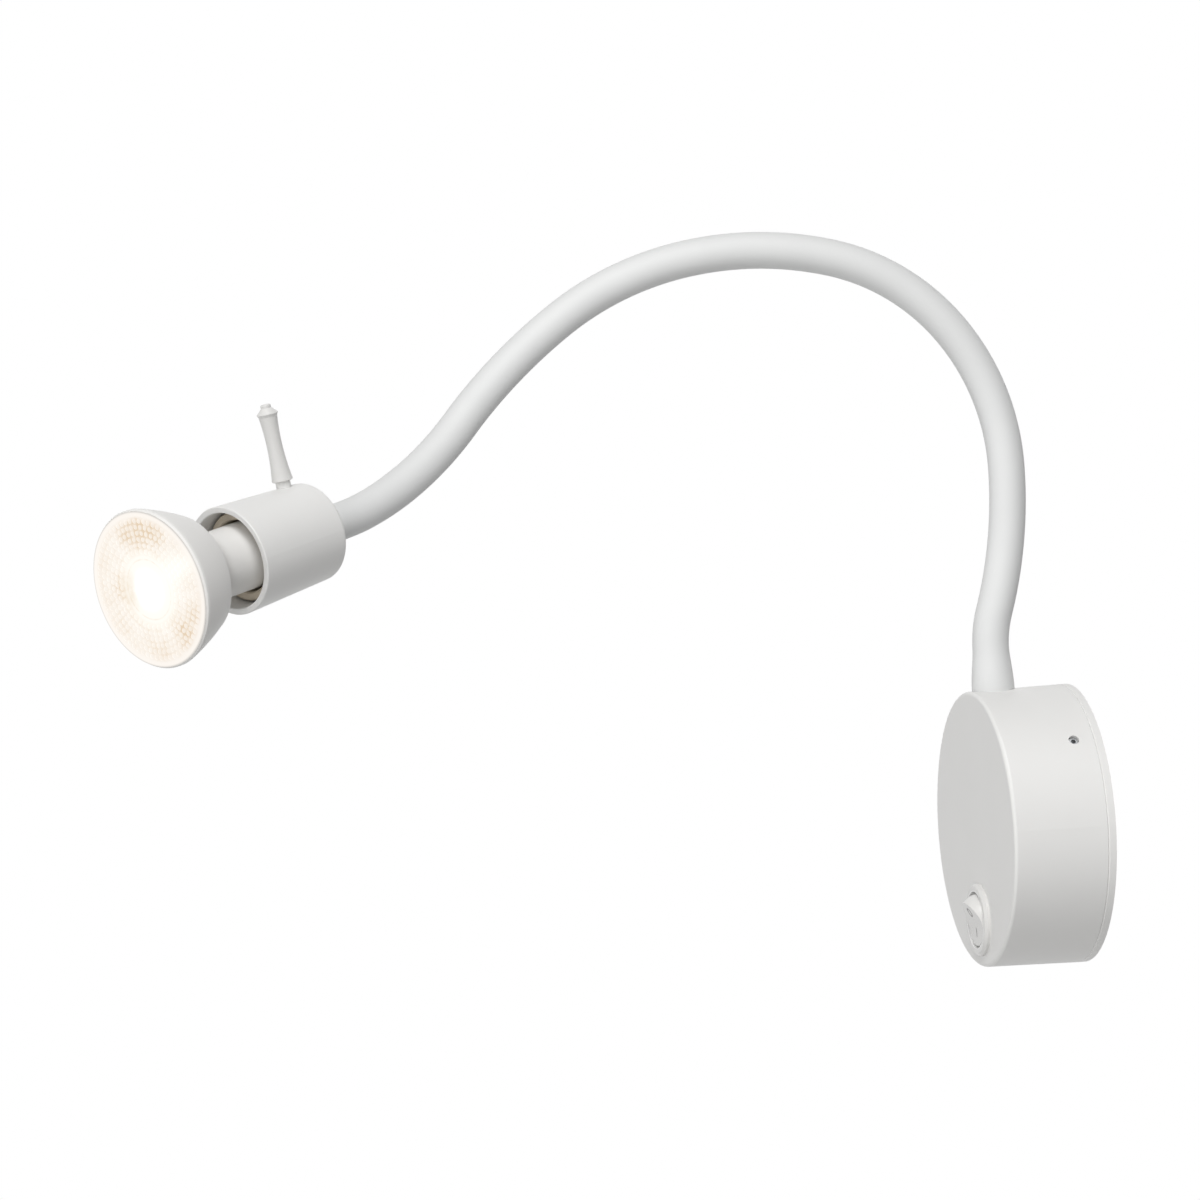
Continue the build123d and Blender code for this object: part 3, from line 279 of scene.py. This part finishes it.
def ramp(tree, source, stops):
    """Colour ramp over a value; stops are (position, grey or colour)."""
    made = node(tree, "ShaderNodeValToRGB")
    while len(made.color_ramp.elements) < len(stops):
        made.color_ramp.elements.new(0.5)
    for element, (position, value) in zip(made.color_ramp.elements, stops):
        element.position = position
        element.color = (*value, 1.0) if isinstance(value, tuple) else (value, value, value, 1.0)
    tree.links.new(source, made.inputs["Fac"])
    return made.outputs["Color"]


def mixed(tree, kind, factor, first, second):
    """Colour mixed with a second, fixed colour."""
    made = node(tree, "ShaderNodeMix", data_type="RGBA", blend_type=kind)
    feed(tree, factor, made.inputs["Factor"])
    tree.links.new(first, made.inputs[MIX_FIRST])
    made.inputs[MIX_SECOND].default_value = second
    return made.outputs[MIX_RESULT]


def noise(tree, point, scale, detail):
    """Cloudy noise."""
    made = node(tree, "ShaderNodeTexNoise")
    made.inputs["Scale"].default_value = scale
    made.inputs["Detail"].default_value = detail
    tree.links.new(point, made.inputs["Vector"])
    return made.outputs["Fac"]


def lens_noise(tree, point, scale, least, most):
    """Cloudy noise between two values."""
    cloud = noise(tree, point, scale, LENS_NOISE_DETAIL)
    return spread_over(tree, cloud, CLOUD_LOW, CLOUD_HIGH, least, most)


def spots_of(tree, point, spots):
    """Sum of soft round spots; each is (middle, reach, weight) in millimetres."""
    made = []
    for middle, reach, weight in spots:
        away = vector_maths(tree, "DISTANCE", point, (middle[0] * MM, middle[1] * MM, 0.0))
        made.append(spread_over(tree, away, 0.0, reach * MM, weight, 0.0, smooth=True))
    return maths(tree, "ADD", 0.0, *made, clamp=True)


def seen_directly(tree):
    """1 where the camera sees a thing itself or through gloss or glass, and 0 where it only gives light."""
    path = node(tree, "ShaderNodeLightPath").outputs
    return maths(tree, "MAXIMUM", path["Is Camera Ray"], path["Is Glossy Ray"], path["Is Transmission Ray"])


def surface(name, light, dark, rough, grain, bump, metal=0.0, coat=0.0, patch=40.0, sheen=0.0, gloss=0.5):
    """Material with soft colour patches, uneven roughness and a fine surface grain."""
    material = bpy.data.materials.new(name)
    tree, shader = shader_of(material)
    place = node(tree, "ShaderNodeTexCoord").outputs["Object"]
    tint = ramp(tree, noise(tree, place, patch, CLOUD_DETAIL), [(CLOUD_LOW, dark), (CLOUD_HIGH, light)])
    tree.links.new(tint, shader.inputs["Base Color"])
    fine = noise(tree, place, grain, GRAIN_DETAIL)
    smoothest = max(ROUGH_LEAST, rough - ROUGH_SPREAD)
    roughest = min(1.0, rough + ROUGH_SPREAD)
    tree.links.new(spread_over(tree, fine, 0.0, 1.0, smoothest, roughest), shader.inputs["Roughness"])
    relief = node(tree, "ShaderNodeBump")
    relief.inputs["Strength"].default_value = bump
    relief.inputs["Distance"].default_value = GRAIN_DEPTH
    tree.links.new(fine, relief.inputs["Height"])
    tree.links.new(relief.outputs["Normal"], shader.inputs["Normal"])
    shader.inputs["Metallic"].default_value = metal
    shader.inputs["Specular IOR Level"].default_value = gloss
    shader.inputs["Coat Weight"].default_value = coat
    shader.inputs["Coat Roughness"].default_value = COAT_ROUGH
    shader.inputs["Sheen Weight"].default_value = sheen
    return material


def whiten_well(material):
    """Paints the narrow ring round the rocker whiter: painted light that stands for light going to and fro between
    two white walls.
    """
    tree, shader = shader_of(material)
    colour = shader.inputs["Base Color"].links[0].from_socket
    place = node(tree, "ShaderNodeTexCoord").outputs["Object"]
    moved = vector_maths(tree, "SUBTRACT", place, WELL_MIDDLE)
    away = vector_maths(tree, "LENGTH", vector_maths(tree, "MULTIPLY", moved, (1.0, 0.0, 1.0)))
    inner = spread_over(tree, away, *WELL_INNER, 0.0, 1.0)
    outer = spread_over(tree, away, *WELL_OUTER, 0.0, 1.0)
    ring = maths(tree, "MULTIPLY", inner, outer)
    tree.links.new(mixed(tree, "MIX", ring, colour, WELL_PAINTED_LIGHT), shader.inputs["Base Color"])


def lit_lens():
    """Lens with the light behind it: white in the middle, warm towards the rim, beads darker in places."""
    material = bpy.data.materials.new("lit_lens")
    tree, shader = shader_of(material)
    place = node(tree, "ShaderNodeTexCoord").outputs["Object"]
    split = node(tree, "ShaderNodeSeparateXYZ")
    tree.links.new(place, split.inputs["Vector"])
    flat = vector_maths(tree, "MULTIPLY", place, (1.0, 1.0, 0.0))
    share = spread_over(tree, vector_maths(tree, "LENGTH", flat), 0.0, LENS_R * MM, 0.0, 1.0)
    patches = spots_of(tree, flat, LENS_PATCHES)
    wash = spots_of(tree, flat, LENS_WASHES)
    halo = spots_of(tree, flat, LENS_HALO)
    speckle = lens_noise(tree, place, *SPECKLE)
    clouds = lens_noise(tree, place, *CLOUDS)

    # Shade between the beads and in the patches, the two rings and the halo, less where the lens is washed out
    valley_top = LENS_FACE + VALLEY_SHARE * BEAD_H
    valley = spread_over(tree, split.outputs["Z"], LENS_FACE * MM, valley_top * MM, 1.0, 0.0)
    depth = maths(tree, "ADD", maths(tree, "MULTIPLY", patches, VALLEY_PATCH_SHADE), VALLEY_SHADE)
    cells = maths(tree, "MULTIPLY", valley, speckle, depth)
    shade = maths(tree, "ADD", cells, maths(tree, "MULTIPLY", patches, PATCH_SHADE), clouds)
    shade = maths(tree, "MULTIPLY", shade, ramp(tree, share, LENS_BAND))
    lines = maths(tree, "MULTIPLY", ramp(tree, share, LENS_LINES), speckle)
    calm = maths(tree, "ADD", maths(tree, "MULTIPLY", speckle, HALO_SPECKLE), HALO_EVEN)
    shade = maths(tree, "ADD", shade, lines, maths(tree, "MULTIPLY", halo, calm))
    shade = maths(tree, "MULTIPLY", shade, maths(tree, "SUBTRACT", 1.0, wash), clamp=True)

    colour = mixed(tree, "MIX", wash, ramp(tree, share, LENS_GLOW), LENS_WASHED)
    colour = mixed(tree, "MULTIPLY", shade, colour, LENS_DARK)
    power = spread_over(tree, share, *LENS_POWER_REACH, *LENS_POWER, smooth=True)
    tree.links.new(colour, shader.inputs["Emission Color"])
    tree.links.new(power, shader.inputs["Emission Strength"])
    tree.links.new(mixed(tree, "MULTIPLY", 1.0, colour, LENS_UNLIT), shader.inputs["Base Color"])
    shader.inputs["Roughness"].default_value = LENS_ROUGH
    shader.inputs["Specular IOR Level"].default_value = LENS_GLOSS
    return material


def to_mesh(made, name):
    """Mesh of what was built."""
    mesh = bpy.data.meshes.new(name)
    made.to_mesh(mesh)
    made.free()
    return mesh


def new_object(name, mesh, material, smooth=True):
    """Links a mesh as an object of the scene."""
    made = bpy.data.objects.new(name, mesh)
    scene.collection.objects.link(made)
    mesh.materials.append(material)
    if smooth:
        mesh.polygons.foreach_set("use_smooth", [True] * len(mesh.polygons))
        mesh.set_sharp_from_angle(angle=math.radians(SHARP_ANGLE))
    return made


def ellipse(wide, high, points):
    """Points of an ellipse, from its half width and half height."""
    angles = [2 * math.pi * k / points for k in range(points)]
    return [(wide * math.cos(angle), high * math.sin(angle)) for angle in angles]


def bridge(made, low, high):
    """Faces between two rings of mesh points."""
    for k in range(len(low)):
        after = (k + 1) % len(low)
        made.faces.new((low[k], low[after], high[after], high[k]))


def close(made, ring, tip):
    """Faces from a ring of mesh points to one point."""
    for k in range(len(ring)):
        made.faces.new((ring[k], ring[(k + 1) % len(ring)], tip))


def lathe(made, x, y, profile, points, top):
    """Turns (radius, height) points round an upright line, closes them at the top and returns the rings."""
    rings = []
    for radius, height in profile:
        circle = ellipse(radius, radius, points)
        rings.append([made.verts.new((x + out, y + up, height)) for out, up in circle])
    for low, high in zip(rings, rings[1:]):
        bridge(made, low, high)
    close(made, rings[-1], made.verts.new((x, y, top)))
    return rings


def axes_at(place, x_axis, y_axis, z_axis):
    """Frame with these axes at a place."""
    return Matrix.Translation(place) @ Matrix((x_axis, y_axis, z_axis)).transposed().to_4x4()


def along(place, length, bend):
    """Frame after an arc that leaves along the frame's z axis."""
    turn = math.radians(math.hypot(bend[0], bend[1]))
    if turn == 0:
        return place @ Matrix.Translation((0, 0, length))
    axis = Vector((bend[0], bend[1], 0)).normalized()
    side = axis.cross(Vector((0, 0, 1)))
    radius = length / turn
    shift = side * radius * (1 - math.cos(turn)) + Vector((0, 0, radius * math.sin(turn)))
    return place @ Matrix.Translation(shift) @ Matrix.Rotation(turn, 4, axis)


def arm_frame(distance):
    """Frame on the arm's centre line at that distance from its foot, in millimetres."""
    place = Matrix.Translation(ARM_START)
    for length, bend in ARM_STRETCHES:
        if distance <= length:
            part = distance / length
            return along(place, distance, (bend[0] * part, bend[1] * part))
        place = along(place, length, bend)
        distance -= length
    return place


def sleeve_radius(distance):
    """Outer radius of the sleeve: flared at the foot, a little swollen over the end fitting at the tip."""
    if distance < SLEEVE_FLARE_L:
        inner_power, outer_power = SLEEVE_FLARE_POWERS
        part = distance / SLEEVE_FLARE_L
        return SLEEVE_R + SLEEVE_FLARE * (1 - part ** inner_power) ** outer_power
    part = (distance - ARM_LENGTH + SLEEVE_FLARE_L) / (SLEEVE_FLARE_L - SLEEVE_TIP_L)
    part = min(1.0, max(0.0, part))
    return SLEEVE_R + SLEEVE_TIP_SWELL * part * part * (3 - 2 * part)


def sleeve_piece(name, low, high):
    """One length of the sleeve as a closed tube."""
    steps = max(2, round((high - low) / RING_STEP))
    made = bmesh.new()
    outside = []
    inside = []
    for step in range(steps + 1):
        distance = min(ARM_LENGTH, low + (high - low) * step / steps)
        place = arm_frame(distance)
        for rings, radius in ((outside, sleeve_radius(distance)), (inside, SLEEVE_BORE)):
            circle = ellipse(radius, radius, RING_POINTS)
            rings.append([made.verts.new((place @ Vector((x, y, 0))) * MM) for x, y in circle])
    around = outside + inside[::-1]
    for first, second in zip(around, around[1:] + around[:1]):
        bridge(made, first, second)
    return new_object(name, to_mesh(made, name), looks["silicone_sleeve"])


def lens_mesh(name):
    """Lens disc with a lip, a shallow dome in the middle and rows of beads round it."""
    profile = [
        (LENS_BODY_R, LENS_BACK),
        (LENS_BODY_R, LENS_LIP),
        (LENS_R, LENS_LIP),
        (LENS_R, LENS_FACE - LENS_EDGE),
        (LENS_R - LENS_EDGE_CUT, LENS_FACE - LENS_EDGE_CUT),
        (LENS_R - LENS_EDGE, LENS_FACE),
        (0.5 * (LENS_R + DOME_R), LENS_FACE),
        (DOME_R + DOME_FOOT, LENS_FACE),
    ]
    for k in range(DOME_RINGS):
        part = k / DOME_RINGS
        profile.append((DOME_R * (1 - part), LENS_FACE + DOME_H * (1 - (1 - part) ** 2)))
    made = bmesh.new()
    rings = lathe(made, 0.0, 0.0, profile, LENS_POINTS, LENS_FACE + DOME_H)
    close(made, rings[0][::-1], made.verts.new((0, 0, LENS_BACK)))
    bead = [(BEAD_R * out, LENS_FACE + BEAD_H * up) for out, up in BEAD_PROFILE]
    for row, radius in enumerate(BEAD_ROWS):
        count = int(2 * math.pi * radius / BEAD_PITCH)
        for k in range(count):
            angle = 2 * math.pi * (k + 0.5 * (row % 2)) / count
            x = radius * math.cos(angle)
            y = radius * math.sin(angle)
            lathe(made, x, y, bead, BEAD_POINTS, LENS_FACE + BEAD_H)
    bmesh.ops.scale(made, vec=(MM, MM, MM), verts=made.verts)
    return to_mesh(made, name)


def face_height(up):
    """Height of the rocker's dished face over its pivot, at a distance from its middle, in millimetres."""
    if abs(up) < ROCKER_DISH_R * math.sin(slope):
        return ROCKER_VALLEY + ROCKER_DISH_R / math.cos(slope) - math.sqrt(ROCKER_DISH_R ** 2 - up ** 2)
    return ROCKER_VALLEY + abs(up) * math.tan(slope)


def mark(name, middle_up, outer, inner):
    """Thin raised band between two ellipses, laid on the rocker's face."""
    made = bmesh.new()
    loops = []
    for lift in (-MARK_SUNK, MARK_H):
        for wide, high in (outer, inner):
            loop = []
            for x, y in ellipse(wide, high, MARK_POINTS):
                up = middle_up + y
                loop.append(made.verts.new((x * MM, up * MM, (face_height(up) + lift) * MM)))
            loops.append(loop)
    for a, b in ((0, 1), (0, 2), (1, 3), (2, 3)):
        bridge(made, loops[a], loops[b])
    bmesh.ops.recalc_face_normals(made, faces=made.faces)
    band = new_object(name, to_mesh(made, name), ink)
    band.matrix_world = rocker_place
    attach(band, "rocker")


def softbox(name, place, power):
    """Square area light that faces the lamp."""
    data = bpy.data.lights.new(name, "AREA")
    data.shape = "SQUARE"
    data.size = SOFTBOX_SIZE
    data.energy = power
    made = bpy.data.objects.new(name, data)
    made.location = place
    made.rotation_euler = (Vector(LIGHT_TARGET) - Vector(place)).to_track_quat("-Z", "Y").to_euler()
    scene.collection.objects.link(made)


# Finish of each material slot
looks = {
    "painted_steel": surface(
        "white_paint", (0.805, 0.80, 0.785), (0.79, 0.785, 0.77), rough=0.42, grain=2600.0, bump=0.03),
    "silicone_sleeve": surface(
        "white_silicone", (0.75, 0.755, 0.75), (0.725, 0.73, 0.725), rough=0.6, grain=1800.0, bump=0.03,
        sheen=0.1),
    "spring_steel": surface(
        "spring_steel", (0.5, 0.5, 0.51), (0.3, 0.3, 0.31), rough=0.35, grain=1200.0, bump=0.2,
        metal=1.0, patch=300.0),
    "lead_jacket": surface(
        "lead_jacket", (0.74, 0.74, 0.72), (0.68, 0.68, 0.66), rough=0.55, grain=1000.0, bump=0.08),
    "zinc_steel": surface(
        "zinc_steel", (0.62, 0.63, 0.64), (0.42, 0.43, 0.44), rough=0.32, grain=1500.0, bump=0.12,
        metal=1.0, patch=300.0),
    "nickel_brass": surface(
        "nickel", (0.72, 0.70, 0.66), (0.58, 0.56, 0.52), rough=0.25, grain=1200.0, bump=0.05,
        metal=1.0, patch=200.0),
    "brass": surface(
        "brass", (0.78, 0.60, 0.28), (0.58, 0.42, 0.18), rough=0.3, grain=1300.0, bump=0.1,
        metal=1.0, patch=250.0),
    "white_plastic": surface(
        "white_plastic", (0.715, 0.708, 0.69), (0.70, 0.693, 0.675), rough=0.3, grain=2200.0, bump=0.006,
        coat=0.2),
    "lamp_plastic": surface(
        "lamp_white", (0.82, 0.81, 0.79), (0.805, 0.795, 0.775), rough=0.4, grain=2200.0, bump=0.004,
        gloss=0.3),
    "natural_plastic": surface(
        "natural_plastic", (0.76, 0.74, 0.68), (0.70, 0.68, 0.62), rough=0.45, grain=800.0, bump=0.05),
    "black_rubber": surface(
        "black_rubber", (0.035, 0.035, 0.036), (0.018, 0.018, 0.018), rough=0.7, grain=900.0, bump=0.15),
    "brown_wire": surface(
        "brown_wire", (0.22, 0.10, 0.05), (0.16, 0.07, 0.03), rough=0.4, grain=800.0, bump=0.05),
    "black_wire": surface(
        "black_wire", (0.045, 0.045, 0.045), (0.025, 0.025, 0.025), rough=0.4, grain=800.0, bump=0.05),
    "blue_wire": surface(
        "blue_wire", (0.04, 0.14, 0.46), (0.03, 0.10, 0.36), rough=0.4, grain=800.0, bump=0.05),
    # Steatite of the lamp holder: cream, made darker and browner as painted shade inside the cup
    "ceramic": surface(
        "steatite_painted_shade", (0.62, 0.55, 0.44), (0.54, 0.47, 0.37), rough=0.6, grain=900.0, bump=0.12),
    "lens": lit_lens(),
    "light_board": surface(
        "light_board", (0.85, 0.83, 0.74), (0.78, 0.76, 0.66), rough=0.4, grain=900.0, bump=0.08),
}
# Painted light: a whiter ring in the white plastic round the rocker
whiten_well(looks["white_plastic"])
ink = surface("grey_ink", (0.27, 0.26, 0.26), (0.21, 0.20, 0.20), rough=0.55, grain=2000.0, bump=0.05)
floor_look = surface(
    "floor_paper", (0.68, 0.68, 0.675), (0.64, 0.64, 0.635), rough=0.8, grain=300.0, bump=0.02)
for row in frame["record"]["subparts"]:
    mesh = nodes[row["node"]].data
    mesh.materials.clear()
    mesh.materials.append(looks[row["material_slot"]])

# The sleeve in eight lengths, each from the middle of one stretch to the middle of the next, curving over one
# joint
cuts = [0.0]
for k in range(1, ARM_JOINTS):
    cuts.append(ARM_FIRST_JOINT + ARM_STEP * (k - 0.5))
cuts.append(ARM_LENGTH)
for k in range(ARM_JOINTS):
    piece = sleeve_piece("arm_cover_" + str(k + 1), cuts[k], cuts[k + 1])
    centre = ARM_FIRST_JOINT + ARM_STEP * k
    before = arm_frame(centre - BEND_HALF).translation * MM
    after = arm_frame(centre + BEND_HALF).translation * MM
    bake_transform(piece)
    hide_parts("arm_sleeve_" + str(k), "arm_sleeve_" + str(k + 1))

# Lens, in a frame with z along the cup and y up
twist = joints["lamp_twist"]
head_z = Vector(twist["axis"]).normalized()
head_x = Vector((0, 0, 1)).cross(head_z).normalized()
head_y = head_z.cross(head_x)
lens = new_object("beaded_lens", lens_mesh("beaded_lens"), looks["lens"])
lens.matrix_world = axes_at(twist["pos_m"], head_x, head_y, head_z)
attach(lens, "lamp")
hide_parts("lamp_lens")

# Marks on the two halves of the rocker: a ring above, a bar below
tilt = math.radians(ROCKER_TILT)
slope = math.radians(ROCKER_SLOPE)
rocker_out = Vector((0, -math.cos(tilt), -math.sin(tilt)))
rocker_up = Vector((0, -math.sin(tilt), math.cos(tilt)))
rocker_side = rocker_up.cross(rocker_out)
rocker_place = axes_at(joints["switch_rock"]["pos_m"], rocker_side, rocker_up, rocker_out)
mark("mark_off", *OFF_MARK)
mark("mark_on", *ON_MARK)

# Camera
azimuth = math.radians(CAMERA_AZIMUTH)
roll = math.radians(CAMERA_ROLL)
back = Vector((math.sin(azimuth), -math.cos(azimuth), 0))
level = Vector((math.cos(azimuth), math.sin(azimuth), 0))
upright = back.cross(level)
right = level * math.cos(roll) - upright * math.sin(roll)
above = level * math.sin(roll) + upright * math.cos(roll)
eye = right * CAMERA_SHIFT[0] + above * CAMERA_SHIFT[1] + back * CAMERA_DISTANCE
camera_data = bpy.data.cameras.new("camera")
camera_data.lens = CAMERA_LENS
camera_data.sensor_width = CAMERA_SENSOR
camera_data.sensor_fit = "HORIZONTAL"
camera_data.clip_start, camera_data.clip_end = CAMERA_CLIP
camera = bpy.data.objects.new("camera", camera_data)
camera.matrix_world = axes_at(eye, right, above, back)
scene.collection.objects.link(camera)
scene.camera = camera

# Floor, which looks pale but gives the lamp little light
circle = bmesh.new()
bmesh.ops.create_circle(circle, cap_ends=True, segments=FLOOR_POINTS, radius=FLOOR_R)
floor = new_object("floor", to_mesh(circle, "floor"), floor_look, smooth=False)
floor.location = FLOOR_PLACE
tree, shader = shader_of(floor_look)
shader.inputs["Emission Color"].default_value = WHITE
tree.links.new(maths(tree, "MULTIPLY", seen_directly(tree), FLOOR_GLOW), shader.inputs["Emission Strength"])

for name, place, power in SOFTBOXES:
    softbox(name, place, power)

# White surroundings, brighter from some sides; the camera and mirror-like surfaces see plain white
world = bpy.data.worlds.new("surroundings")
scene.world = world
world.use_nodes = True
tree = world.node_tree
tree.nodes.clear()
outwards = node(tree, "ShaderNodeTexCoord").outputs["Generated"]
lobes = []
for direction, edge, power in ROOM_LOBES:
    facing = vector_maths(tree, "DOT_PRODUCT", outwards, direction)
    lobes.append(spread_over(tree, facing, edge, 1.0, 0.0, power))
ambient = node(tree, "ShaderNodeBackground")
ambient.inputs["Color"].default_value = WHITE
tree.links.new(maths(tree, "ADD", ROOM_EVEN, *lobes), ambient.inputs["Strength"])
seen = node(tree, "ShaderNodeBackground")
seen.inputs["Color"].default_value = WHITE
seen.inputs["Strength"].default_value = 1.0
choice = node(tree, "ShaderNodeMixShader")
tree.links.new(seen_directly(tree), choice.inputs["Fac"])
tree.links.new(ambient.outputs["Background"], choice.inputs[1])
tree.links.new(seen.outputs["Background"], choice.inputs[2])
output = node(tree, "ShaderNodeOutputWorld")
tree.links.new(choice.outputs["Shader"], output.inputs["Surface"])

scene.view_settings.view_transform = "Standard"
